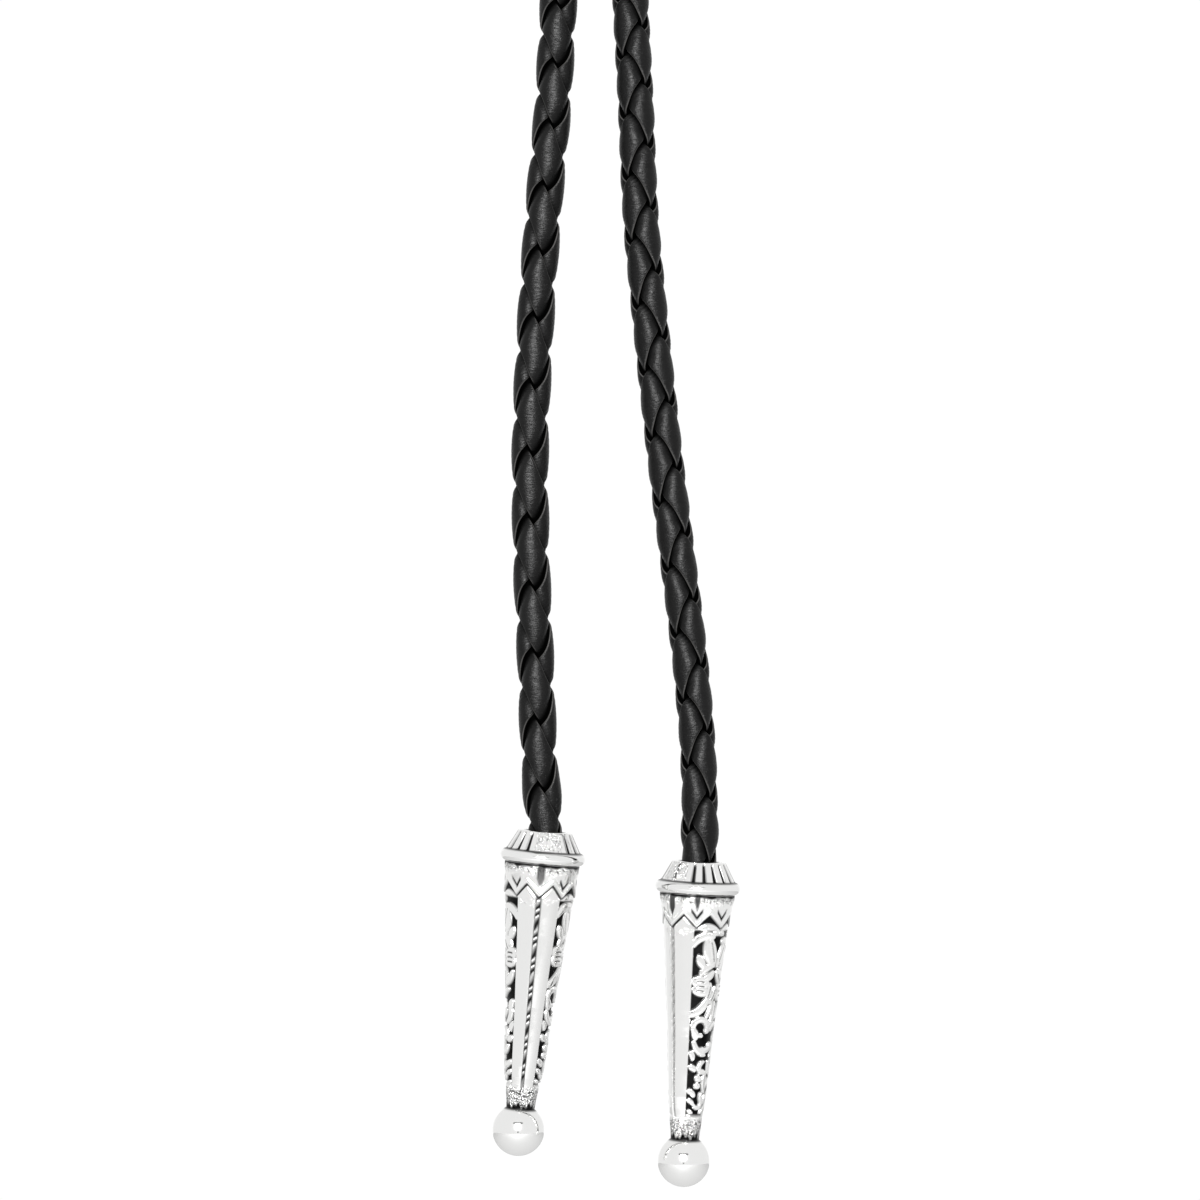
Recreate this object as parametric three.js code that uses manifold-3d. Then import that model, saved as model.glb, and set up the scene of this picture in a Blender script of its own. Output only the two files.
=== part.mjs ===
// A bolo tie as worn: a braided leather cord round the neck, gathered by a metal slide on the
// chest, with two free tails that end in cast metal tips.
// Millimetres, +Z up, the front faces -Y. The origin is the middle of the neck opening, level
// with the nape.
import * as THREE from 'three';
import Module from 'manifold-3d';
import { mergeVertices } from 'three/addons/utils/BufferGeometryUtils.js';

const wasm = await Module();
wasm.setup();

// Cord
const CORD_D = 5;
const CORD_SIDES = 12;
const CORD_STEP = 2.4 * CORD_D;
const GAP = 0.3;

// Slide: an oval plate in front of two parallel cord channels
const FRONT_Y = -75.5;
const SLIDE_Z = -182;
const CHANNEL_X = 4.7;
const CHANNEL_LENGTH = 18;
const CHANNEL_WALL = 0.8;
const PLATE_HALF_WIDTH = 13;
const PLATE_HALF_HEIGHT = 16;
const PLATE_RIM = 1.8;
const PLATE_DOME = 3;
const PLATE_SINK = 0.6;

// Tips: lengths are measured down from the top of the collar
const COLLAR_TOP_R = 3.7;
const COLLAR_BOTTOM_R = 5.2;
const COLLAR_HEIGHT = 2.75;
const RING_R = 5.95;
const RING_HALF = 0.85;
const SOCKET_DEPTH = 12;
const BALL_R = 3.62;
const BALL_Z = -41.7;
const TIP_SEGMENTS = 40;
const BODY_ROWS = [
  { down: 38.62, radius: 1.9 },
  { down: 37.7, radius: 2.0 },
  { down: 35.2, radius: 2.22 },
  { down: 34.3, radius: 2.5 },
  { down: 32.7, radius: 2.78 },
  { down: 29.3, radius: 3.05 },
  { down: 24.3, radius: 3.35 },
  { down: 19.3, radius: 3.9 },
  { down: 14.3, radius: 4.3 },
  { down: 9.3, radius: 4.8 },
  { down: 5.0, radius: 5.2 },
];
const LEFT_TIP = { x: -6.87, below: 135.5, lean: 5.1 };
const RIGHT_TIP = { x: 14.53, below: 139.7, lean: 2.95 };

// Cord routes. `below` is the distance under the middle of the slide.
const NECK_ROUTE = [
  { x: 0, y: 62, z: 2 },
  { x: 24, y: 57.5, z: 2 },
  { x: 44, y: 44, z: 1 },
  { x: 57, y: 24, z: -3 },
  { x: 62, y: 2, z: -12 },
  { x: 61, y: -18, z: -27 },
  { x: 56.5, y: -35, z: -47 },
  { x: 49, y: -49, z: -70 },
  { x: 40, y: -60, z: -94 },
  { x: 30, y: -68, z: -118 },
  { x: 20, y: -73, z: -137.5 },
  { x: 12.4, y: -75, z: -150.5 },
  { x: 7.6, y: FRONT_Y, z: -160 },
  { x: 5.3, y: FRONT_Y, z: -166.5 },
  { x: 4.75, y: FRONT_Y, z: -171.5 },
  { x: CHANNEL_X, y: FRONT_Y, z: -177 },
];
const LEFT_TAIL = [
  { x: -CHANNEL_X, below: 8 },
  { x: -5.0, below: 20 },
  { x: -5.4, below: 28 },
  { x: -5.9, below: 36 },
  { x: -6.65, below: 44 },
  { x: -7.3, below: 52 },
  { x: -7.9, below: 60 },
  { x: -8.35, below: 68 },
  { x: -8.75, below: 76 },
  { x: -8.95, below: 84 },
  { x: -8.9, below: 92 },
  { x: -8.7, below: 100 },
  { x: -8.35, below: 108 },
  { x: -8.05, below: 116 },
  { x: -7.75, below: 124 },
  { x: -7.25, below: 131 },
];
const RIGHT_TAIL = [
  { x: CHANNEL_X, below: 8 },
  { x: 5.0, below: 20 },
  { x: 5.4, below: 28 },
  { x: 5.8, below: 36 },
  { x: 6.1, below: 44 },
  { x: 6.55, below: 52 },
  { x: 7.3, below: 60 },
  { x: 8.1, below: 68 },
  { x: 8.95, below: 76 },
  { x: 9.85, below: 84 },
  { x: 10.85, below: 92 },
  { x: 11.85, below: 100 },
  { x: 12.85, below: 108 },
  { x: 13.7, below: 116 },
  { x: 14.35, below: 124 },
  { x: 14.6, below: 131 },
  { x: 14.62, below: 136 },
];

const CORD_R = CORD_D / 2;
const BORE_R = CORD_R + GAP;
const CHANNEL_R = BORE_R + CHANNEL_WALL;

const leather = () => new THREE.MeshStandardMaterial({ color: 0x2a2a2b, roughness: 0.5, metalness: 0 });
const silver = () => new THREE.MeshStandardMaterial({ color: 0xc9cacc, roughness: 0.25, metalness: 1 });

function namedMesh(name, geometry, material) {
  const mesh = new THREE.Mesh(geometry, material);
  mesh.name = name;
  return mesh;
}

// Points on a circle in the (radius, height) plane, from one angle to another, in degrees.
function arc(centreR, centreZ, radius, from, to, steps) {
  const points = [];
  for (let i = 0; i <= steps; i++) {
    const a = THREE.MathUtils.degToRad(from + ((to - from) * i) / steps);
    points.push(new THREE.Vector2(centreR + radius * Math.cos(a), centreZ + radius * Math.sin(a)));
  }
  return points;
}

// A closed round tube along a smooth curve through the route's points.
function cordAlong(points) {
  const curve = new THREE.CatmullRomCurve3(points, false, 'centripetal');
  const section = new THREE.Shape();
  for (let i = 0; i < CORD_SIDES; i++) {
    const a = (2 * Math.PI * i) / CORD_SIDES;
    const [x, y] = [CORD_R * Math.cos(a), CORD_R * Math.sin(a)];
    if (i === 0) section.moveTo(x, y);
    else section.lineTo(x, y);
  }
  section.closePath();
  const steps = Math.round(curve.getLength() / CORD_STEP);
  return new THREE.ExtrudeGeometry(section, { steps, extrudePath: curve, bevelEnabled: false });
}

// The neck stretch: down one side into its channel, and the mirror of it on the other side.
function neckCord() {
  const side = NECK_ROUTE.map(({ x, y, z }) => new THREE.Vector3(x, y, z));
  side.push(new THREE.Vector3(CHANNEL_X, FRONT_Y, SLIDE_Z + GAP / 2));
  const mirrored = side.slice(1).reverse().map((p) => new THREE.Vector3(-p.x, p.y, p.z));
  return cordAlong([...mirrored, ...side]);
}

// A point on a tip's own axis, `depth` below its collar top.
function onTipAxis(tip, depth) {
  const lean = THREE.MathUtils.degToRad(tip.lean);
  const z = SLIDE_Z - tip.below - depth * Math.cos(lean);
  return new THREE.Vector3(tip.x - depth * Math.sin(lean), FRONT_Y, z);
}

// A tail: out of its channel, down in the open, and into the socket of its tip.
function tailCord(rows, tip) {
  const points = [new THREE.Vector3(rows[0].x, FRONT_Y, SLIDE_Z - GAP / 2)];
  for (const { x, below } of rows) points.push(new THREE.Vector3(x, FRONT_Y, SLIDE_Z - below));
  for (const depth of [0, 0.5 * SOCKET_DEPTH, SOCKET_DEPTH - GAP]) points.push(onTipAxis(tip, depth));
  return cordAlong(points);
}

// A cast tip: ball, tapered body, ring and conical collar, with the cord's socket open at the top.
function tipGeometry() {
  const neckAngle = THREE.MathUtils.radToDeg(Math.acos(BODY_ROWS[0].radius / BALL_R));
  const ringZ = -COLLAR_HEIGHT - RING_HALF;
  const profile = [
    new THREE.Vector2(0, BALL_Z - BALL_R),
    ...arc(0, BALL_Z, BALL_R, -80, neckAngle, 12),
    ...BODY_ROWS.slice(1).map(({ down, radius }) => new THREE.Vector2(radius, -down)),
    ...arc(RING_R - RING_HALF, ringZ, RING_HALF, -75, 75, 6),
    new THREE.Vector2(COLLAR_BOTTOM_R, -COLLAR_HEIGHT + 0.1),
    new THREE.Vector2(COLLAR_TOP_R, 0),
    new THREE.Vector2(BORE_R, 0),
    new THREE.Vector2(BORE_R, -SOCKET_DEPTH),
    new THREE.Vector2(0, -SOCKET_DEPTH),
  ];
  return new THREE.LatheGeometry(profile, TIP_SEGMENTS).rotateX(Math.PI / 2);
}

function placedTip(name, tip) {
  const mesh = namedMesh(name, tipGeometry(), silver());
  mesh.position.set(tip.x, FRONT_Y, SLIDE_Z - tip.below);
  mesh.rotation.y = THREE.MathUtils.degToRad(tip.lean);
  return mesh;
}

// A three.js geometry as a solid that can be joined and cut.
function toSolid(geometry) {
  const bare = geometry.clone();
  bare.deleteAttribute('normal');
  bare.deleteAttribute('uv');
  const merged = mergeVertices(bare, 1e-4);
  return new wasm.Manifold(new wasm.Mesh({
    numProp: 3,
    vertProperties: new Float32Array(merged.attributes.position.array),
    triVerts: new Uint32Array(merged.index.array),
  }));
}

function toGeometry(solid) {
  const { vertProperties, triVerts } = solid.getMesh();
  const geometry = new THREE.BufferGeometry();
  geometry.setAttribute('position', new THREE.BufferAttribute(vertProperties, 3));
  geometry.setIndex(new THREE.BufferAttribute(triVerts, 1));
  geometry.computeVertexNormals();
  return geometry;
}

// The slide is one casting: a domed oval plate with a plain rim, and two channels on its back.
function slideGeometry() {
  const backY = FRONT_Y - CHANNEL_R + PLATE_SINK;
  const profile = [
    new THREE.Vector2(0, 0),
    new THREE.Vector2(0.97, 0),
    new THREE.Vector2(1, 0.3 * PLATE_RIM),
    new THREE.Vector2(1, 0.75 * PLATE_RIM),
    new THREE.Vector2(0.97, PLATE_RIM),
    new THREE.Vector2(0.9, PLATE_RIM),
    new THREE.Vector2(0.86, 0.8 * PLATE_RIM),
    new THREE.Vector2(0.7, PLATE_RIM + 0.35 * PLATE_DOME),
    new THREE.Vector2(0.5, PLATE_RIM + 0.7 * PLATE_DOME),
    new THREE.Vector2(0.25, PLATE_RIM + 0.93 * PLATE_DOME),
    new THREE.Vector2(0, PLATE_RIM + PLATE_DOME),
  ];
  const plate = new THREE.LatheGeometry(profile, 48).rotateX(Math.PI);
  plate.scale(PLATE_HALF_WIDTH, 1, PLATE_HALF_HEIGHT).translate(0, backY, SLIDE_Z);
  let body = toSolid(plate);
  for (const x of [-CHANNEL_X, CHANNEL_X]) {
    const tube = new THREE.CylinderGeometry(CHANNEL_R, CHANNEL_R, CHANNEL_LENGTH, 32);
    body = body.add(toSolid(tube.rotateX(Math.PI / 2).translate(x, FRONT_Y, SLIDE_Z)));
  }
  for (const x of [-CHANNEL_X, CHANNEL_X]) {
    const bore = new THREE.CylinderGeometry(BORE_R, BORE_R, 2 * CHANNEL_LENGTH, 32);
    body = body.subtract(toSolid(bore.rotateX(Math.PI / 2).translate(x, FRONT_Y, SLIDE_Z)));
  }
  return toGeometry(body);
}

const group = new THREE.Group();
group.add(
  namedMesh('neck_cord', neckCord(), leather()),
  namedMesh('left_tail_cord', tailCord(LEFT_TAIL, LEFT_TIP), leather()),
  namedMesh('right_tail_cord', tailCord(RIGHT_TAIL, RIGHT_TIP), leather()),
  namedMesh('slide', slideGeometry(), silver()),
  placedTip('left_tip', LEFT_TIP),
  placedTip('right_tip', RIGHT_TIP),
);

export default group;
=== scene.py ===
"""A bolo tie on its wearer: one round four-strand braided leather cord, gathered by an oval slide, with two
free tails that end in engraved, antiqued silver tips. Lengths are millimetres until a mesh is made."""

import bpy
import numpy as np
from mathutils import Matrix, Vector


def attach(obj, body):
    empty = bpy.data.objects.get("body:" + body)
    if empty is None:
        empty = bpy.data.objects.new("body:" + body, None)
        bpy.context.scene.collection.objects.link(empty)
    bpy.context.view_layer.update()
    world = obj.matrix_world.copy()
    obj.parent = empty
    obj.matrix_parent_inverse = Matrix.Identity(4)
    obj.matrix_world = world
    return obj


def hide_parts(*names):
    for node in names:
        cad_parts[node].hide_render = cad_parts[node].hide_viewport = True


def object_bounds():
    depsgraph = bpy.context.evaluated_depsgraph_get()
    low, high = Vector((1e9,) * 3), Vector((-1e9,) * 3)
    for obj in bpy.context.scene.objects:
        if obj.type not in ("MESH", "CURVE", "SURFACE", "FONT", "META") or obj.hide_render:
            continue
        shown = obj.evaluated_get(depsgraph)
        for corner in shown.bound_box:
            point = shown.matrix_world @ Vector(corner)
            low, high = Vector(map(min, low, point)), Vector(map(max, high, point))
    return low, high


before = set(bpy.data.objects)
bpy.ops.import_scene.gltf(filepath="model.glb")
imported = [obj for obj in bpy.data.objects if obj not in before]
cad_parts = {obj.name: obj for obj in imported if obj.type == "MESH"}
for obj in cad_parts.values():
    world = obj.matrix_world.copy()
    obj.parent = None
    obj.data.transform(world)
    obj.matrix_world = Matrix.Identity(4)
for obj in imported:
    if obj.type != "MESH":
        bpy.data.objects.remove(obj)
CAD_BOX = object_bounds()
MM = 0.001

# Cord and slide, as in the construction
FRONT_Y = -75.5
SLIDE_Z = -182.0
GAP = 0.3
CHANNEL_X = 4.7
CHANNEL_LENGTH = 18.0
CHANNEL_R = 3.6
BORE_R = 2.8
PLATE_HALF_WIDTH = 13.0
PLATE_HALF_HEIGHT = 16.0
PLATE_BACK_Y = -78.5
PLATE_RIM = 1.8
PLATE_DOME = 3.0

# Tips: distances down from the top of the collar
COLLAR_TOP_R = 3.7
COLLAR_BOTTOM_R = 5.2
COLLAR_HEIGHT = 2.75
RING_R = 5.95
RING_HALF = 0.85
SOCKET_DEPTH = 12.0
BALL_R = 3.62
BALL_DOWN = 41.7
BODY_DOWN = (5.0, 9.3, 14.3, 19.3, 24.3, 29.3, 32.7, 34.3, 35.2, 37.7, 38.62)
BODY_RADIUS = (5.2, 4.81, 4.3, 3.86, 3.38, 3.04, 2.78, 2.58, 2.36, 2.06, 1.96)
# The last value darkens each tip's groove: patina in the rope's hollows, and a painted shadow line along one edge.
LEFT_TIP = dict(x=-6.87, below=135.5, lean=5.1, turn=0.0, flute_turn=10.0, slots=(0, 180), groove_soot_and_shadow=1.0)
RIGHT_TIP = dict(x=14.53, below=139.7, lean=2.95, turn=-45.0, flute_turn=0.0, slots=(0, 45, 180), groove_soot_and_shadow=0.45)

# Routes: (x, y, z) for the neck, (x, distance below the slide's middle) for the tails
NECK_ROUTE = (
    (0, 62, 2), (24, 57.5, 2), (44, 44, 1), (57, 24, -3), (62, 2, -12), (61, -18, -27),
    (56.5, -35, -47), (49, -49, -70), (40, -60, -94), (30, -68, -118), (20, -73, -137.5),
    (12.4, -75, -150.5), (7.6, FRONT_Y, -160), (5.3, FRONT_Y, -166.5), (4.75, FRONT_Y, -171.5),
    (CHANNEL_X, FRONT_Y, -177),
)
LEFT_TAIL = (
    (-4.7, 8), (-5.0, 20), (-5.4, 28), (-5.9, 36), (-6.65, 44), (-7.3, 52), (-7.9, 60), (-8.35, 68),
    (-8.75, 76), (-8.95, 84), (-8.9, 92), (-8.7, 100), (-8.35, 108), (-8.05, 116), (-7.75, 124),
    (-7.25, 131),
)
RIGHT_TAIL = (
    (4.7, 8), (5.0, 20), (5.4, 28), (5.8, 36), (6.1, 44), (6.55, 52), (7.3, 60), (8.1, 68), (8.95, 76),
    (9.85, 84), (10.85, 92), (11.85, 100), (12.85, 108), (13.7, 116), (14.35, 124), (14.6, 131),
    (14.62, 136),
)

# Braid: four flat laces, over one and under one
PITCH = 18.64
LACE_HALF_WIDTH = 2.1
LACE_THICK = 1.0
LACE_CORNER = 0.22
LACE_DOME = 0.16
LACE_STRETCH = 1.25
LACE_ANGLE_ON_TOP = np.radians(56)
LACE_ANGLE_UNDERNEATH = np.radians(84)
WEAVE = 0.47
WEAVE_SQUARENESS = 2.2
BRAID_MEAN_R = 1.68
CORE_R = 0.6

# What the camera takes in: a square field at the tails' plane
FIELD = 166.8
FIELD_TOP = SLIDE_Z - 20.0
FIELD_MIDDLE_X = 0.76
LENS = 150.0
SENSOR = 36.0
EYE_DISTANCE = FIELD * LENS / SENSOR


# ---------------------------------------------------------------- meshes


def smooth(edge_0, edge_1, value):
    """0 below edge_0, 1 above edge_1, and 3t^2 - 2t^3 between them."""
    t = np.clip((value - edge_0) / (edge_1 - edge_0), 0, 1)
    return t * t * (3 - 2 * t)


def squared(wave):
    """A cosine made flatter at its tops and steeper between them: tanh(k c) / tanh(k)."""
    return np.tanh(WEAVE_SQUARENESS * wave) / np.tanh(WEAVE_SQUARENESS)


def ring_faces(rows, columns):
    """Quads of a grid that closes on itself both ways."""
    row, column = np.arange(rows)[:, None], np.arange(columns)[None, :]
    next_row, next_column = (row + 1) % rows * columns, (column + 1) % columns
    row = row * columns
    quads = np.stack([row + column, row + next_column, next_row + next_column, next_row + column], -1)
    return quads.reshape(-1, 4), np.zeros((0, 3), int)


def tube_faces(rows, columns):
    """Quads of a grid that closes on itself across its columns, and a fan of triangles at each end.
    The two fan points come after the grid's own points."""
    row = np.arange(rows - 1)[:, None] * columns
    column = np.arange(columns)[None, :]
    after = (column + 1) % columns
    quads = np.stack([row + column, row + after, row + columns + after, row + columns + column], -1)
    around, beyond = np.arange(columns), (np.arange(columns) + 1) % columns
    last = (rows - 1) * columns
    start_fan = np.stack([np.full(columns, rows * columns), beyond, around], -1)
    end_fan = np.stack([np.full(columns, rows * columns + 1), last + around, last + beyond], -1)
    return quads.reshape(-1, 4), np.concatenate([start_fan, end_fan])


def closed_tubes(grids, marks):
    """Joins several closed grids into one body: each is (rows, columns, 3) points, and marks holds one
    dictionary of per-point values for each grid. A grid of eight rows closes onto its own first row,
    and any other has each end closed at the mean of its row. Returns the points, the quads, the
    triangles and the joined values."""
    points, quads, triangles, first = [], [], [], 0
    joined = {name: [] for name in marks[0]}
    for grid, mark in zip(grids, marks):
        rows, columns = grid.shape[:2]
        body = np.concatenate([grid.reshape(-1, 3), grid[0].mean(0)[None], grid[-1].mean(0)[None]])
        four, three = ring_faces(rows, columns) if rows == 8 else tube_faces(rows, columns)
        sides = np.concatenate([four[:, [0, 1, 2]], four[:, [0, 2, 3]], three])
        a, b, c = (body[sides[:, i]] for i in range(3))
        if np.einsum("ij,ij->i", a, np.cross(b, c)).sum() < 0:
            four, three = four[:, ::-1], three[:, ::-1]
        points.append(body)
        quads.append(four + first)
        triangles.append(three + first)
        first += len(body)
        for name, value in mark.items():
            ends = [value[0].mean(0)[None], value[-1].mean(0)[None]]
            joined[name].append(np.concatenate([value.reshape(rows * columns, *value.shape[2:]), *ends]))
    return (np.concatenate(points), np.concatenate(quads), np.concatenate(triangles),
            {name: np.concatenate(values) for name, values in joined.items()})


def make_piece(name, grids, marks, material):
    """One object from closed grids in millimetres, with the marks as point attributes."""
    points, quads, triangles, values = closed_tubes(grids, marks)
    mesh = bpy.data.meshes.new(name)
    mesh.vertices.add(len(points))
    mesh.vertices.foreach_set("co", (points * MM).astype(np.float32).ravel())
    mesh.loops.add(quads.size + triangles.size)
    mesh.loops.foreach_set("vertex_index", np.concatenate([quads.ravel(), triangles.ravel()]).astype(np.int32))
    mesh.polygons.add(len(quads) + len(triangles))
    starts = np.concatenate([np.arange(len(quads)) * 4, quads.size + np.arange(len(triangles)) * 3])
    mesh.polygons.foreach_set("loop_start", starts.astype(np.int32))
    mesh.polygons.foreach_set("use_smooth", np.ones(len(starts), bool))
    mesh.update(calc_edges=True)
    for mark, value in values.items():
        if value.ndim == 1:
            mesh.attributes.new(mark, "FLOAT", "POINT").data.foreach_set("value", value.astype(np.float32))
        else:
            layer = mesh.attributes.new(mark, "FLOAT_VECTOR", "POINT")
            layer.data.foreach_set("vector", value.astype(np.float32).ravel())
    piece = bpy.data.objects.new(name, mesh)
    bpy.context.scene.collection.objects.link(piece)
    mesh.materials.append(material)
    return piece


# ---------------------------------------------------------------- cord


def smooth_route(points, step):
    """A centripetal Catmull-Rom curve through the points, at equal steps of its own length. Each span
    is a cubic whose end slopes come from its neighbours, weighted by the root of the gaps."""
    points = np.asarray(points, float)
    points = np.concatenate([[2 * points[0] - points[1]], points, [2 * points[-1] - points[-2]]])
    root = np.sqrt(np.linalg.norm(np.diff(points, axis=0), axis=1))[:, None]
    before, here, after = root[:-2], root[1:-1], root[2:]
    p0, p1, p2, p3 = points[:-3], points[1:-2], points[2:-1], points[3:]
    slope_1 = ((p1 - p0) / before - (p2 - p0) / (before + here) + (p2 - p1) / here) * here
    slope_2 = ((p2 - p1) / here - (p3 - p1) / (here + after) + (p3 - p2) / after) * here
    t = np.linspace(0, 1, 60, endpoint=False)[None, :, None]
    fine = ((2 * t**3 - 3 * t**2 + 1) * p1[:, None] + (t**3 - 2 * t**2 + t) * slope_1[:, None]
            + (3 * t**2 - 2 * t**3) * p2[:, None] + (t**3 - t**2) * slope_2[:, None])
    fine = np.concatenate([fine.reshape(-1, 3), points[-2][None]])
    along = np.concatenate([[0], np.cumsum(np.linalg.norm(np.diff(fine, axis=0), axis=1))])
    even = np.linspace(0, along[-1], int(round(along[-1] / step)) + 1)
    return np.stack([np.interp(even, along, fine[:, i]) for i in range(3)], -1), even


def across_route(route, reference):
    """Two unit directions square to the route at each point: the first is the part of the reference
    that is square to it, and the second lies to its right, seen from outside with the route going down."""
    along = np.gradient(route, axis=0)
    along /= np.linalg.norm(along, axis=1)[:, None]
    first = reference - (reference * along).sum(1)[:, None] * along
    first /= np.linalg.norm(first, axis=1)[:, None]
    return first, np.cross(first, along)


def lace_section(fine):
    """A lace's section as (across, up) in millimetres, going round once: a rounded rectangle whose outer
    face is gently domed."""
    corner = np.radians(np.linspace(0, 90, 4 if fine else 3))
    top = np.linspace(-1, 1, 9 if fine else 5)[1:-1] * (LACE_HALF_WIDTH - LACE_CORNER)
    flat, half = LACE_HALF_WIDTH - LACE_CORNER, LACE_THICK / 2 - LACE_CORNER
    right = [flat + LACE_CORNER * np.cos(corner), half + LACE_CORNER * np.sin(corner)]
    left = [-flat - LACE_CORNER * np.sin(corner), half + LACE_CORNER * np.cos(corner)]
    across = np.concatenate([right[0], top[::-1], left[0], -right[0], top[::3], -left[0]])
    up = np.concatenate([right[1], np.full(len(top), LACE_THICK / 2), left[1], -right[1],
                         np.full(len(top[::3]), -LACE_THICK / 2), -left[1]])
    return across, up - LACE_DOME * (across / LACE_HALF_WIDTH) ** 2 * (up > 0)


def braid_grids(route, distance, reference, turns, column_angle, girth, fine=True):
    """The four laces of a round braid, and its core. turns counts whole turns of a lace along the
    route, column_angle is where the first lace family lies on top, and girth scales the radius.
    A lace's middle runs at angle = lane + side * 2 pi * turns. It is on top where it meets one lace of
    the other family and underneath at the next, so its height is a cosine, squared up, of the angle
    measured square to the other family. It keeps its own width, so it takes a wider angle underneath."""
    out, right = across_route(route, reference)
    across, up = lace_section(fine)
    spin = (2 * np.pi * turns)[:, None]
    grids, marks = [], []
    for side in (1, -1):
        for lane in (0.0, np.pi):
            sign = side * np.cos(lane)
            under = 0.5 - 0.5 * np.cos(lane + 2 * side * spin) * sign
            half_angle = LACE_ANGLE_ON_TOP + (LACE_ANGLE_UNDERNEATH - LACE_ANGLE_ON_TOP) * under
            spread = across[None, :] / LACE_HALF_WIDTH * half_angle
            angle = side * spin + lane + spread
            height = WEAVE * squared(np.cos(angle + side * spin)) * sign
            radius = (BRAID_MEAN_R + height + up[None, :]) * girth[:, None]
            turn = angle + column_angle
            grid = (route[:, None] + radius[..., None] * (np.cos(turn)[..., None] * out[:, None]
                    + np.sin(turn)[..., None] * right[:, None]))
            place = np.stack([np.broadcast_to(distance[:, None] * LACE_STRETCH, angle.shape),
                              np.broadcast_to(across, angle.shape),
                              np.full(angle.shape, 7.0 * side + lane)], -1)
            face = (up > 0.5 * LACE_THICK - LACE_CORNER - LACE_DOME) & (np.abs(across) < LACE_HALF_WIDTH - 0.02)
            # Painted shade: 1 on a lace's raised outer face, falling to 0 where the lace lies deep between and
            # under the others; there it is coloured blacker and given no sheen.
            free_of_painted_shade = smooth(1.76, 2.14, radius) * face[None, :]
            # Painted highlight: a thin paler line along each top cut corner of a lace, only on its raised face.
            rim = np.exp(-((np.abs(across) - LACE_HALF_WIDTH + 0.05) / 0.035) ** 2) * (up > 0)
            grids.append(grid)
            marks.append(dict(lace=place, free_of_painted_shade=free_of_painted_shade, rim=rim[None, :] * free_of_painted_shade))
    core_turn = np.linspace(0, 2 * np.pi, 10, endpoint=False)[None, :, None]
    core = route[::4, None] + CORE_R * (np.cos(core_turn) * out[::4, None] + np.sin(core_turn) * right[::4, None])
    grids.append(core)
    marks.append(dict(lace=np.zeros(core.shape), free_of_painted_shade=np.zeros(core.shape[:2]), rim=np.zeros(core.shape[:2])))
    return grids, marks


def tip_axis(tip, depth):
    """A point on a tip's own axis, depth below the top of its collar."""
    lean = np.radians(tip["lean"])
    return (tip["x"] - depth * np.sin(lean), FRONT_Y, SLIDE_Z - tip["below"] - depth * np.cos(lean))


def tail_points(rows, tip):
    """The tail's route: from the middle of its channel, through its rows, into the tip's socket."""
    points = [(rows[0][0], FRONT_Y, SLIDE_Z - GAP / 2)]
    points += [(x, FRONT_Y, SLIDE_Z - below) for x, below in rows]
    return points + [tip_axis(tip, depth) for depth in (0, SOCKET_DEPTH / 2, SOCKET_DEPTH - GAP)]


def tail_cord(name, rows, tip, pitch, meeting_below, column_angle, material):
    """A tail of braided cord. meeting_below is where, under the slide's middle, a lace crosses the
    column at column_angle. The braid tightens a little towards the slide, and squeezes at the collar."""
    points = tail_points(rows, tip)
    route, distance = smooth_route(points, 0.22)
    below = distance + GAP / 2
    tighter = 1.1e-4 * np.clip(60 - below, 0, None) ** 2
    turns = (below - meeting_below) / pitch - tighter
    mouth = distance[-1] - (SOCKET_DEPTH - GAP) + GAP / 2
    girth = 1 - 0.04 * smooth(-2.6, -0.3, below - mouth) + 0.05 * np.exp(-((below - mouth + 4.6) / 2.0) ** 2)
    reference = np.broadcast_to([0.0, -1.0, 0.0], route.shape)
    grids, marks = braid_grids(route, distance, reference, turns, column_angle, girth)
    piece = make_piece(name, grids, marks, material)
    return piece, route


# ---------------------------------------------------------------- materials


def srgb(code):
    """A linear colour from an sRGB hex code such as #1a1a1a."""
    value = np.array([int(code[i:i + 2], 16) for i in (1, 3, 5)]) / 255
    return (*np.where(value <= 0.04045, value / 12.92, ((value + 0.055) / 1.055) ** 2.4), 1.0)


def add(tree, kind, settings=None, **sockets):
    """Adds a node: settings are its own properties, and sockets its inputs, as a value or a link."""
    node = tree.nodes.new(kind)
    for name, value in (settings or {}).items():
        setattr(node, name, value)
    for name, value in sockets.items():
        socket = node.inputs[int(name[1:])] if name[0] == "_" else node.inputs[name.replace("_", " ")]
        if isinstance(value, bpy.types.NodeSocket):
            tree.links.new(value, socket)
        else:
            socket.default_value = value
    return node


def new_material(name):
    """An empty node material with its output and Principled shader: (material, tree, shader)."""
    material = bpy.data.materials.new(name)
    material.use_nodes = True
    tree = material.node_tree
    tree.nodes.clear()
    shader = add(tree, "ShaderNodeBsdfPrincipled")
    add(tree, "ShaderNodeOutputMaterial", Surface=shader.outputs["BSDF"])
    return material, tree, shader


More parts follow.
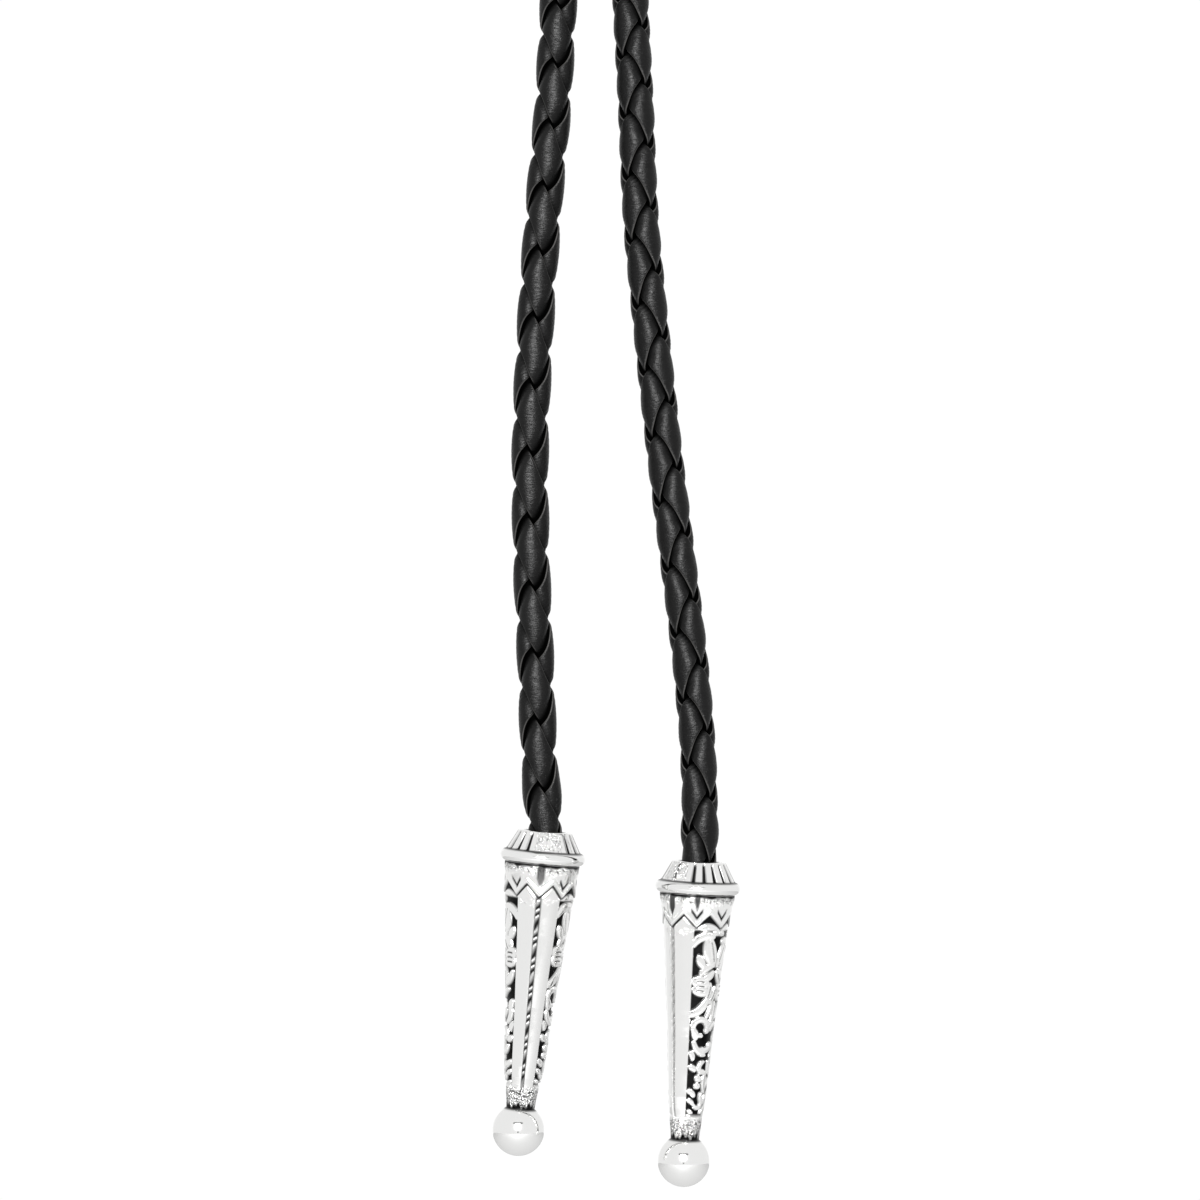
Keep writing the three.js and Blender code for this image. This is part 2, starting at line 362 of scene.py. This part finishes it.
def black_leather_lace():
    """Drum-dyed cowhide cut into laces and waxed: near black, a satin outer face whose fine creases and grain
    break up its sheen, a painted highlight as a thin paler line at the cut corner, and painted shade between the
    laces: blacker colour and no sheen."""
    material, tree, shader = new_material("black_leather_lace")
    lace = add(tree, "ShaderNodeAttribute", {"attribute_name": "lace"}).outputs["Vector"]
    free_of_painted_shade = add(tree, "ShaderNodeAttribute", {"attribute_name": "free_of_painted_shade"}).outputs["Fac"]
    rim = add(tree, "ShaderNodeAttribute", {"attribute_name": "rim"}).outputs["Fac"]
    # creases about 0.35 mm apart along the lace and twice as long across it
    stretched = add(tree, "ShaderNodeMapping", Vector=lace, Scale=(2.6, 1.1, 1.0)).outputs["Vector"]
    creases = add(tree, "ShaderNodeTexNoise", Vector=stretched, Scale=1.0, Detail=3.0, Roughness=0.6,
                  Distortion=1.2).outputs["Fac"]
    grain = add(tree, "ShaderNodeTexNoise", Vector=lace, Scale=4.5, Detail=4.0, Roughness=0.65).outputs["Fac"]
    patches = add(tree, "ShaderNodeTexNoise", Vector=lace, Scale=0.5, Detail=2.0).outputs["Fac"]
    tone = add(tree, "ShaderNodeMix", {"data_type": "RGBA"}, _0=patches, _6=srgb("#030303"), _7=srgb("#0a0a0a"))
    # Painted shade: where the shade mask falls to 0, between and under the laces, the colour is near-black #010101
    # in place of the leather's own tone.
    face = add(tree, "ShaderNodeMix", {"data_type": "RGBA"}, _0=free_of_painted_shade, _6=srgb("#010101"), _7=tone.outputs[2])
    # Painted highlight: the lace's cut corners take the paler #454443 along the rim mask.
    colour = add(tree, "ShaderNodeMix", {"data_type": "RGBA"}, _0=rim, _6=face.outputs[2], _7=srgb("#454443"))
    tree.links.new(colour.outputs[2], shader.inputs["Base Color"])
    rough = add(tree, "ShaderNodeMapRange", Value=grain, _3=0.27, _4=0.44)
    # The painted shade also takes the sheen away there: roughness 0.8 and specular level 0.005.
    matt = add(tree, "ShaderNodeMix", {"data_type": "FLOAT"}, _0=free_of_painted_shade, _2=0.8, _3=rough.outputs[0])
    tree.links.new(matt.outputs[0], shader.inputs["Roughness"])
    gloss = add(tree, "ShaderNodeMath", {"operation": "MULTIPLY_ADD"}, _0=free_of_painted_shade, _1=0.155, _2=0.005)
    shader.inputs["Specular IOR Level"].default_value = 0.12
    tree.links.new(gloss.outputs[0], shader.inputs["Specular IOR Level"])
    crease_bump = add(tree, "ShaderNodeBump", Strength=0.75, Distance=0.00012, Height=creases)
    grain_bump = add(tree, "ShaderNodeBump", Strength=0.5, Distance=0.00005, Height=grain,
                     Normal=crease_bump.outputs["Normal"])
    tree.links.new(grain_bump.outputs["Normal"], shader.inputs["Normal"])
    return material


def antiqued_silver():
    """Silver plate on a pewter casting, dipped in an oxidising bath and buffed: mirror-bright high
    spots, sooty recesses, and pits of the casting where the buff did not reach."""
    material, tree, shader = new_material("antiqued_silver_plate")
    # This attribute holds the patina of the recesses and, on the tips, a painted shadow line along one edge of
    # each groove.
    tarnish = add(tree, "ShaderNodeAttribute", {"attribute_name": "tarnish"}).outputs["Fac"]
    pitting = add(tree, "ShaderNodeAttribute", {"attribute_name": "pitting"}).outputs["Fac"]
    place = add(tree, "ShaderNodeTexCoord").outputs["Object"]
    # casting pits about 0.2 mm across
    pits = add(tree, "ShaderNodeTexNoise", Vector=place, Scale=4500.0, Detail=3.0, Roughness=0.7).outputs["Fac"]
    deep = add(tree, "ShaderNodeMath", {"operation": "MULTIPLY_ADD"}, _0=pitting, _1=0.62, _2=pits)
    soot = add(tree, "ShaderNodeMapRange", {"interpolation_type": "SMOOTHSTEP"}, Value=deep.outputs[0],
               _1=0.96, _2=1.14)
    dark = add(tree, "ShaderNodeMath", {"operation": "MAXIMUM"}, _0=tarnish, _1=soot.outputs[0])
    uneven = add(tree, "ShaderNodeTexNoise", Vector=place, Scale=900.0, Detail=3.0).outputs["Fac"]
    soot_tone = add(tree, "ShaderNodeMix", {"data_type": "RGBA"}, _0=uneven, _6=srgb("#030303"),
                    _7=srgb("#1c1c1c"))
    colour = add(tree, "ShaderNodeMix", {"data_type": "RGBA"}, _0=dark.outputs[0], _6=srgb("#f6f6f5"),
                 _7=soot_tone.outputs[2])
    tree.links.new(colour.outputs[2], shader.inputs["Base Color"])
    shader.inputs["Metallic"].default_value = 1.0
    rough = add(tree, "ShaderNodeMapRange", Value=dark.outputs[0], _3=0.10, _4=0.45)
    tree.links.new(rough.outputs[0], shader.inputs["Roughness"])
    wear = add(tree, "ShaderNodeTexNoise", Vector=place, Scale=260.0, Detail=2.0).outputs["Fac"]
    wear_bump = add(tree, "ShaderNodeBump", Strength=0.12, Distance=0.0004, Height=wear)
    pit_bump = add(tree, "ShaderNodeBump", Strength=0.7, Distance=-0.00008, Height=soot.outputs[0],
                   Normal=wear_bump.outputs["Normal"])
    tree.links.new(pit_bump.outputs["Normal"], shader.inputs["Normal"])
    return material


# ---------------------------------------------------------------- tips

# Strokes of the scrollwork raised on one panel. u runs across the panel from -1 to 1, v down it in
# the same scale, from 0 under the zigzag. A stroke starts at (u, v), heads off at `heading` degrees
# (0 is +u, 90 is down), is `length` long and turns by `curl` degrees in all. start, middle and end are
# its half-widths, and vein is the half-width of a line cut along it. A stroke marked twin is repeated
# on the panel's other side, a little lower.
STROKE_COLUMNS = ("u", "v", "heading", "length", "curl", "start", "middle", "end", "vein", "twin")
STROKES = (
    (-1.15, 0.55, -62, 0.95, 70, 0.12, 0.17, 0.14, 0.0, 1),
    (-0.28, 1.42, -122, 1.10, 30, 0.09, 0.17, 0.07, 0.0, 1),
    (-0.12, 1.45, -98, 1.25, -12, 0.08, 0.19, 0.07, 0.022, 0),
    (0.12, 1.45, -74, 1.25, 12, 0.08, 0.19, 0.07, 0.022, 0),
    (-0.20, 0.06, -20, 0.40, 40, 0.10, 0.12, 0.10, 0.0, 0),
    (-0.90, 1.05, 70, 0.55, -20, 0.06, 0.19, 0.10, 0.0, 1),
    (-0.25, 1.50, 175, 0.62, -60, 0.09, 0.15, 0.09, 0.0, 1),
    (-0.12, 1.75, 120, 0.55, 45, 0.10, 0.17, 0.12, 0.0, 0),
    (0.20, 1.75, 70, 0.75, -30, 0.10, 0.17, 0.08, 0.022, 0),
    (-0.92, 2.22, 5, 0.42, 10, 0.26, 0.31, 0.24, 0.0, 1),
    (-0.92, 2.62, 5, 0.42, 10, 0.22, 0.27, 0.22, 0.0, 1),
    (-0.20, 2.30, 85, 0.80, 30, 0.07, 0.15, 0.06, 0.02, 0),
    (0.15, 2.45, 95, 0.85, 30, 0.06, 0.15, 0.06, 0.02, 0),
    (-0.28, 2.90, 95, 1.55, 80, 0.07, 0.22, 0.17, 0.0, 0),
    (0.00, 3.20, 85, 0.95, 45, 0.06, 0.12, 0.05, 0.0, 0),
    (0.22, 3.20, 70, 1.20, 50, 0.08, 0.18, 0.08, 0.02, 0),
    (0.90, 3.35, 110, 0.90, 40, 0.10, 0.20, 0.12, 0.0, 0),
    (0.55, 4.30, 170, 0.55, -60, 0.10, 0.15, 0.10, 0.0, 0),
    (-0.10, 4.72, -60, 2.35, -300, 0.15, 0.17, 0.12, 0.0, 0),
    (-0.90, 4.75, 60, 0.45, 30, 0.17, 0.22, 0.12, 0.0, 1),
    (-0.85, 5.45, 75, 1.05, -60, 0.15, 0.18, 0.10, 0.0, 0),
    (0.28, 5.52, 100, 0.85, 110, 0.17, 0.17, 0.10, 0.0, 0),
    (-0.28, 5.80, 60, 0.30, 60, 0.14, 0.17, 0.12, 0.0, 0),
    (0.85, 5.55, 90, 0.75, 50, 0.20, 0.18, 0.10, 0.0, 0),
    (-1.02, 6.05, 40, 0.40, 60, 0.16, 0.18, 0.10, 0.0, 1),
    (-0.10, 6.55, 165, 0.62, -80, 0.08, 0.14, 0.16, 0.0, 0),
    (0.35, 6.55, 60, 0.70, 50, 0.10, 0.16, 0.10, 0.0, 0),
    (-0.95, 6.92, 10, 0.30, 40, 0.19, 0.20, 0.12, 0.0, 1),
    (-0.30, 7.22, -30, 0.45, 90, 0.15, 0.16, 0.12, 0.0, 0),
    (-0.42, 7.62, 20, 0.05, 0, 0.22, 0.22, 0.22, 0.0, 0),
    (0.10, 7.25, 95, 1.30, -15, 0.07, 0.19, 0.08, 0.022, 0),
    (-0.46, 8.12, 0, 0.05, 0, 0.20, 0.20, 0.20, 0.0, 0),
    (0.60, 7.65, 110, 0.75, 40, 0.10, 0.19, 0.10, 0.0, 0),
    (-0.98, 8.50, 10, 0.50, 60, 0.19, 0.19, 0.10, 0.0, 1),
    (-0.05, 8.62, 110, 0.75, -70, 0.10, 0.17, 0.12, 0.0, 0),
    (0.42, 8.75, 80, 0.65, 70, 0.08, 0.17, 0.08, 0.0, 0),
    (-0.98, 9.15, 15, 0.40, 30, 0.16, 0.17, 0.10, 0.0, 1),
    (-0.55, 9.45, 80, 0.95, -190, 0.09, 0.16, 0.12, 0.0, 0),
    (0.45, 9.60, 110, 0.60, 30, 0.10, 0.18, 0.06, 0.0, 0),
    (-0.95, 9.95, 20, 0.30, 0, 0.15, 0.15, 0.10, 0.0, 1),
)
TWIN_DROP = 0.22
SHELL_VEINS = (2.20, 2.42, 2.64)
PANEL_HALF = 41.0
PANEL_TOP = 9.5
PANEL_BOTTOM = 35.4


def body_radius(down):
    """The tip's radius at a distance below the collar's top, where the ornament is widest."""
    return np.interp(down, BODY_DOWN, BODY_RADIUS)


def scrollwork(u, v):
    """How far each panel point lies outside the nearest raised stroke, in panel units (negative inside),
    and how deep it lies in a vein, 0 to 1. A stroke is a chain of discs along its curve, and a point's
    distance is the least over the discs. The shells at the panel's sides have three short veins each."""
    outside = np.full(u.shape, 9.0)
    vein = np.zeros(u.shape)
    t = np.linspace(0, 1, 18)
    for values in STROKES:
        row = dict(zip(STROKE_COLUMNS, values))
        heading = np.radians(row["heading"] + row["curl"] * t)
        step = row["length"] / (len(t) - 1)
        across = row["u"] + np.concatenate([[0], np.cumsum(np.cos(heading[1:]) * step)])
        down = row["v"] + np.concatenate([[0], np.cumsum(np.sin(heading[1:]) * step)])
        ends = np.where(t < 0.5, row["start"], row["end"])
        width = ends + (row["middle"] - ends) * np.sin(np.pi * t)
        for flip, drop in ((1, 0.0), (-1, TWIN_DROP))[:1 + row["twin"]]:
            line = np.full(u.shape, 9.0)
            for place, (a, b, w) in enumerate(zip(flip * across, down + drop, width)):
                apart = np.hypot(u - a, v - b)
                outside = np.minimum(outside, apart - w)
                if 3 <= place <= 14:
                    line = np.minimum(line, apart)
            if row["vein"]:
                vein = np.maximum(vein, 1 - smooth(0.6 * row["vein"], 2.0 * row["vein"], line))
    for level in SHELL_VEINS:
        for side, drop in ((-1, 0.0), (1, TWIN_DROP)):
            x = u - side * 0.72
            line = np.abs(v - level - drop - 0.55 * x**2)
            vein = np.maximum(vein, (1 - smooth(0.02, 0.05, line)) * (1 - smooth(0.18, 0.24, np.abs(x))))
    return outside, vein


def tip_profile():
    """The tip's outline from the ball's pole up the outside to the collar's rim, and down into the
    cord's socket, as (radius, distance below the collar's top), close enough together for engraving."""
    start = np.arccos(BODY_RADIUS[-1] / BALL_R)
    ball = np.linspace(-np.pi / 2 + 0.06, start, 36)
    down = np.concatenate([np.arange(38.5, PANEL_BOTTOM, -0.12), np.arange(PANEL_BOTTOM, 4.5, -0.098)])
    ring = np.radians(np.linspace(-78, 78, 13))
    collar = np.linspace(COLLAR_HEIGHT - 0.05, 0.12, 18)
    collar_r = COLLAR_TOP_R + (COLLAR_BOTTOM_R - COLLAR_TOP_R) * collar / COLLAR_HEIGHT
    radius = np.concatenate([
        BALL_R * np.cos(ball), body_radius(down), RING_R - RING_HALF + RING_HALF * np.cos(ring), collar_r,
        [COLLAR_TOP_R - 0.04, COLLAR_TOP_R - 0.25, BORE_R + 0.15, BORE_R, BORE_R, BORE_R, 0.4]])
    depth = np.concatenate([
        BALL_DOWN - BALL_R * np.sin(ball), down, COLLAR_HEIGHT + RING_HALF - RING_HALF * np.sin(ring), collar,
        [0.03, 0.0, 0.0, 0.12, SOCKET_DEPTH / 2, SOCKET_DEPTH, SOCKET_DEPTH]])
    zone = np.concatenate([np.full(len(ball), 0), np.full(len(down), 1), np.full(len(ring), 2),
                           np.full(len(collar), 3), np.full(7, 4)])
    return radius, depth, zone


def folded(angle, period):
    """An angle's offset from the nearest multiple of the period, in degrees."""
    return (angle + period / 2) % period - period / 2


def engrave_body(angle, down, slots, groove_soot_and_shadow):
    """Height and darkening of the tapered body: patina in its recesses, and a painted shadow along one edge
    of each groove. From the top: a plain band with slots, a zigzag of eight raised Vs with a fine v inside
    each, then two pairs of smooth facets, each pair either side of a groove, and between the pairs two panels of
    raised scrollwork."""
    radius = body_radius(down)
    eighth = folded(angle, 45)
    x8 = np.radians(eighth) * radius
    panel = folded(angle - 90, 180)
    peak = np.abs(eighth) / 22.5

    zigzag = 6.75 + 1.8 * (1 - peak)
    off = (down - zigzag) * 0.73
    height = 0.13 * (1 - smooth(0.18, 0.38, np.abs(off)))
    reach = np.where(np.abs(panel) < 50, 0.45 + 0.65 * peak**2, 0.5)
    below_v = smooth(0.24, 0.36, off) * (1 - smooth(reach, reach + 0.2, off)) * (down < 9.9)
    height = height - 0.2 * below_v
    dark = below_v * smooth(0.1, 0.4, 1 - 0.6 * peak)

    in_slot = np.zeros(angle.shape)
    no_slot = np.ones(angle.shape)
    for slot in slots:
        x = np.radians(folded(angle - slot, 360)) * radius
        half = 0.55 * np.clip((7.7 - down) / 1.3, 0, 1)
        if slot % 90:
            half = 0.4 * np.clip((6.9 - down) / 1.6, 0, 1)
        in_slot = np.maximum(in_slot, (1 - smooth(-0.08, 0.06, np.abs(x) - half)) * (half > 0))
        no_slot *= (np.abs(x) > 1.2) | bool(slot % 90)
    fine_v = np.abs(down - (7.7 - 1.25 * np.abs(x8))) * 0.62
    fine_v = (1 - smooth(0.12, 0.22, fine_v)) * (1 - smooth(0.78, 0.92, np.abs(x8))) * no_slot
    height -= 0.22 * in_slot + 0.16 * fine_v
    dark = np.maximum(dark, np.maximum(0.93 * in_slot, fine_v))

    x = np.radians(folded(angle, 180)) * radius
    half = np.interp(down, (9, 20, 36), (0.42, 0.36, 0.24))
    groove = (1 - smooth(-0.08, 0.05, np.abs(x) - half)) * smooth(8.9, 9.3, down) * (1 - smooth(35.4, 36.4, down))
    wire = np.cos(2 * np.pi * (down / 1.35 + x / 1.3 + 0.25 * np.sin(down * 1.7)))
    height += groove * (-0.22 + 0.03 * wire)
    # Painted shadow: a dark line along each groove's edge on the side of positive x, as if cast by the groove's
    # wall. The darkening that follows the rope's twist is patina in its hollows.
    groove_edge_painted_shadow = smooth(0.5, 0.95, x / half)
    dark = np.maximum(dark, groove_soot_and_shadow * groove * np.clip(0.88 - 0.16 * wire + 0.4 * groove_edge_painted_shadow, 0.4, 1))

    v_rows = np.linspace(0, 50, 2001)
    v_of_down = np.concatenate([[0], np.cumsum(0.025 / (np.radians(PANEL_HALF) * body_radius(v_rows[1:])))])
    v = np.interp(down, v_rows, v_of_down) - np.interp(PANEL_TOP, v_rows, v_of_down)
    u = panel / PANEL_HALF
    near = (np.abs(u) < 1.35) & (down > 8.6) & (down < 36.4)
    block = np.ix_(np.flatnonzero(near.any(1)), np.flatnonzero(near.any(0)))
    outside, vein = scrollwork(u[block], v[block])
    window = (1 - smooth(1.17, 1.20, np.abs(u[block]))) * smooth(9.2, 9.5, down[block]) \
        * (1 - smooth(34.9, 35.6, down[block])) * smooth(0.3, 0.4, off[block])
    sunk = smooth(-0.02, 0.05, outside) * window
    lined = 0.9 * vein * (outside < 0) * window
    swell = np.sqrt(np.clip(-outside, 0, 0.14) / 0.14) * window
    height[block] += -0.32 * sunk + 0.05 * swell - 0.09 * lined
    dark[block] = np.maximum(dark[block], np.maximum(sunk, lined))
    return height, dark


def tip_piece(name, tip, material):
    """One cast tip as a grid of its profile by its turn. Its section is a circle drawn in by 7 % at the
    four edges where the facets meet the panels: radius times 1 - 0.035 (1 - cos 4a)."""
    profile_r, profile_down, zone = tip_profile()
    columns = 232
    angle = np.broadcast_to(np.linspace(-180, 180, columns, endpoint=False)[None], (len(zone), columns))
    down = np.broadcast_to(profile_down[:, None], angle.shape)
    radius = np.broadcast_to(profile_r[:, None], angle.shape).copy()
    place = np.broadcast_to(zone[:, None], angle.shape)

    square = smooth(5.0, 8.0, down) * (1 - smooth(33.5, 37.0, down)) * (place == 1)
    radius *= 1 - 0.035 * (1 - np.cos(np.radians(4 * angle))) * square
    height, dark = engrave_body(angle, down, tip["slots"], tip["groove_soot_and_shadow"])
    radius += height * (place == 1)
    dark = dark * (place == 1)

    side = folded(angle - 90 - tip["flute_turn"], 180)
    flute = np.abs(folded(side, 18)) * (np.abs(side) < 63)
    x = np.radians(np.where(np.abs(side) < 63, flute, 9)) * radius
    taper = np.interp(down, (0, COLLAR_HEIGHT), (0.17, 0.34))
    cut = (1 - smooth(0.6 * taper, 1.3 * taper, x)) * smooth(0.12, 0.5, down) * (place == 3)
    radius -= 0.28 * cut
    dark = np.maximum(dark, cut)
    ragged = 0.08 * np.sin(np.radians(angle * 7)) + 0.07 * np.sin(np.radians(angle * 17 + 40))
    joint = (1 - smooth(0.06, 0.2, np.abs(down - COLLAR_HEIGHT - 0.02))) * (place >= 2)
    under_ring = (1 - smooth(0.0, 0.35, down - 4.7 - ragged)) * (place == 1)
    at_ball = np.maximum((1 - smooth(0.25, 1.0, 38.6 - down + 3 * ragged)) * (place == 1),
                         (1 - smooth(0.1, 0.4, down - 38.62)) * (place == 0))
    inside = (place == 4) & (down > 0.1)
    dark = np.maximum.reduce([dark, 0.85 * joint, under_ring, at_ball, 1.0 * inside])
    pitting = np.maximum((1 - smooth(5.0, 7.6, down)) * 0.85, smooth(33.6, 36.4, down) * 0.88) * (place == 1)
    pitting = np.maximum(pitting, 0.74 * (place == 3) * (np.abs(side) > 66))
    pitting = np.maximum(pitting, 0.62 * (place == 1) * smooth(8.6, 9.2, down) * (1 - smooth(9.8, 11.5, down)))

    turned = np.radians(angle + tip["turn"])
    local = np.stack([radius * np.sin(turned), -radius * np.cos(turned), -down], -1)
    lean = np.radians(tip["lean"])
    top = tip_axis(tip, 0)
    grid = np.stack([top[0] + local[..., 0] * np.cos(lean) + local[..., 2] * np.sin(lean),
                     top[1] + local[..., 1],
                     top[2] - local[..., 0] * np.sin(lean) + local[..., 2] * np.cos(lean)], -1)
    return make_piece(name, [grid], [dict(tarnish=dark, pitting=pitting)], material)


# ---------------------------------------------------------------- slide


def slide_grids():
    """The slide: an oval plate, domed inside a rounded rim, and two tubes on its back. The plate is a
    profile of (share of the half-width, height) carried round an oval. A tube is its outline carried
    down the outside, across one end, up the bore and across the other."""
    share = np.array([0.02, 0.5, 0.9, 0.965, 0.99, 1.0, 0.99, 0.965, 0.93, 0.895, 0.87, 0.86, 0.85])
    rise = np.array([0, 0, 0, 0.05, 0.2, 0.5, 0.8, 0.95, 1.0, 0.95, 0.85, 0.75, 0.72]) * PLATE_RIM
    dome = np.linspace(0.82, 0.02, 24)
    domed = 0.72 * PLATE_RIM + (PLATE_DOME + 0.28 * PLATE_RIM) * np.sqrt(1 - 0.98 * (dome / 0.86) ** 2)
    share, rise = np.concatenate([share, dome]), np.concatenate([rise, domed])
    turn = np.linspace(0, 2 * np.pi, 160, endpoint=False)[None, :]
    plate = np.stack([PLATE_HALF_WIDTH * share[:, None] * np.cos(turn),
                      np.broadcast_to(PLATE_BACK_Y - rise[:, None], (len(share), 160)),
                      SLIDE_Z + PLATE_HALF_HEIGHT * share[:, None] * np.sin(turn)], -1)
    lip = np.exp(-((share - 0.86) / 0.018) ** 2) * (rise > 0.5)
    back = 0.5 * (rise < 0.1)
    grids = [plate]
    marks = [dict(tarnish=np.repeat(lip[:, None], 160, 1), pitting=np.repeat(back[:, None], 160, 1))]
    end, edge = CHANNEL_LENGTH / 2, 0.15
    outline = np.array([(CHANNEL_R - edge, -end), (CHANNEL_R, edge - end), (CHANNEL_R, end - edge),
                        (CHANNEL_R - edge, end), (BORE_R + edge, end), (BORE_R, end - edge),
                        (BORE_R, edge - end), (BORE_R + edge, -end)])
    for x in (-CHANNEL_X, CHANNEL_X):
        radius, down = outline[:, 0, None], outline[:, 1, None]
        tube = np.stack([x + radius * np.cos(turn), FRONT_Y + radius * np.sin(turn),
                         np.broadcast_to(SLIDE_Z + down, (8, 160))], -1)
        grids.append(tube)
        marks.append(dict(tarnish=np.zeros((8, 160)), pitting=np.full((8, 160), 0.4)))
    return grids, marks


# ---------------------------------------------------------------- camera, light and floor


def make_camera():
    """Level with the middle of the field and square to the tails' plane."""
    camera = bpy.data.cameras.new("camera")
    camera.lens = LENS
    camera.sensor_width = SENSOR
    camera.clip_start = 0.01
    camera.clip_end = 20
    eye = bpy.data.objects.new("camera", camera)
    eye.rotation_euler = (np.pi / 2, 0, 0)
    eye.location = (FIELD_MIDDLE_X * MM, (FRONT_Y - EYE_DISTANCE) * MM, (FIELD_TOP - FIELD / 2) * MM)
    bpy.context.scene.collection.objects.link(eye)
    bpy.context.scene.camera = eye


def soft_box(name, place, target, width, height, power):
    """A rectangular soft light at place, facing target, in metres and watts."""
    light = bpy.data.lights.new(name, "AREA")
    light.shape = "RECTANGLE"
    light.size = width
    light.size_y = height
    light.energy = power
    lamp = bpy.data.objects.new(name, light)
    lamp.location = place
    lamp.rotation_euler = (Vector(target) - Vector(place)).to_track_quat("-Z", "Y").to_euler()
    bpy.context.scene.collection.objects.link(lamp)


def black_flag(name, place, target, width, height):
    """A black card facing target: the dark edge that bright metal needs. The camera looks past it."""
    black, tree, shader = new_material(name + "_felt")
    shader.inputs["Base Color"].default_value = srgb("#080808")
    shader.inputs["Roughness"].default_value = 0.9
    bpy.ops.mesh.primitive_plane_add(size=1, location=place)
    card = bpy.context.object
    card.name = name
    card.scale = (width, height, 1)
    card.rotation_euler = (Vector(target) - Vector(place)).to_track_quat("Z", "Y").to_euler()
    card.data.materials.append(black)
    card.visible_camera = False


def make_studio():
    """A white tent: even pale walls, a white one straight behind the tie, and one soft light over the
    camera that gives the leather its sheen and the balls their bright spot."""
    scene = bpy.context.scene
    scene.view_settings.view_transform = "Standard"
    world = bpy.data.worlds.new("white_tent")
    scene.world = world
    world.use_nodes = True
    tree = world.node_tree
    tree.nodes.clear()
    ray = add(tree, "ShaderNodeTexCoord").outputs["Generated"]
    depth = add(tree, "ShaderNodeSeparateXYZ", Vector=ray).outputs["Y"]
    tone = add(tree, "ShaderNodeMapRange", {"interpolation_type": "SMOOTHSTEP"}, Value=depth, _1=0.80, _2=0.97,
               _3=0.88, _4=1.02)
    sky = add(tree, "ShaderNodeBackground", Strength=1.0)
    tree.links.new(tone.outputs[0], sky.inputs["Color"])
    add(tree, "ShaderNodeOutputWorld", Surface=sky.outputs[0])
    middle = (0.0, FRONT_Y * MM, (FIELD_TOP - FIELD / 2) * MM)
    soft_box("front_light", (-0.05, -1.0, -0.03), middle, 0.32, 0.38, 24.0)

    black_flag("hood_edge", (-0.02, -0.96, 0.29), middle, 0.80, 0.13)
    black_flag("camera_body", (-0.02, -0.86, -0.415), middle, 0.10, 0.07)

    floor_z = CAD_BOX[0].z - 0.06
    bpy.ops.mesh.primitive_circle_add(vertices=96, radius=0.36, fill_type="NGON", location=(0, 0.0, floor_z))
    floor = bpy.context.object
    floor.name = "floor"
    pale, tree, shader = new_material("pale_paper")
    shader.inputs["Base Color"].default_value = srgb("#b3b3b3")
    shader.inputs["Roughness"].default_value = 0.8
    floor.data.materials.append(pale)


# ---------------------------------------------------------------- the tie

make_camera()
leather = black_leather_lace()
silver = antiqued_silver()

left_braid, left_route = tail_cord("left_tail_braid", LEFT_TAIL, LEFT_TIP, PITCH, 96.85, 0.0, leather)
right_braid, right_route = tail_cord("right_tail_braid", RIGHT_TAIL, RIGHT_TIP, PITCH * 0.985, 135.85,
                                     np.radians(45), leather)

side_points = [*NECK_ROUTE, (CHANNEL_X, FRONT_Y, SLIDE_Z + GAP / 2)]
neck_points = [(-x, y, z) for x, y, z in side_points[:0:-1]] + side_points
neck_route, neck_distance = smooth_route(neck_points, 0.6)
neck_reference = neck_route - np.array([0.0, -10.0, -60.0])
neck_grids, neck_marks = braid_grids(neck_route, neck_distance, neck_reference, neck_distance / PITCH, 0.0,
                                     np.ones(len(neck_distance)), fine=False)
neck_braid = make_piece("neck_braid", neck_grids, neck_marks, leather)

left_tip = tip_piece("left_tip_casting", LEFT_TIP, silver)
right_tip = tip_piece("right_tip_casting", RIGHT_TIP, silver)
slide = make_piece("slide_casting", *slide_grids(), silver)

for piece, node, finish in (
    (left_braid, "left_tail_cord", "leather"), (right_braid, "right_tail_cord", "leather"),
    (neck_braid, "neck_cord", "leather"), (left_tip, "left_tip", "silver"),
    (right_tip, "right_tip", "silver"), (slide, "slide", "silver"),
):
    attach(piece, "root")
    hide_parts(node)

make_studio()
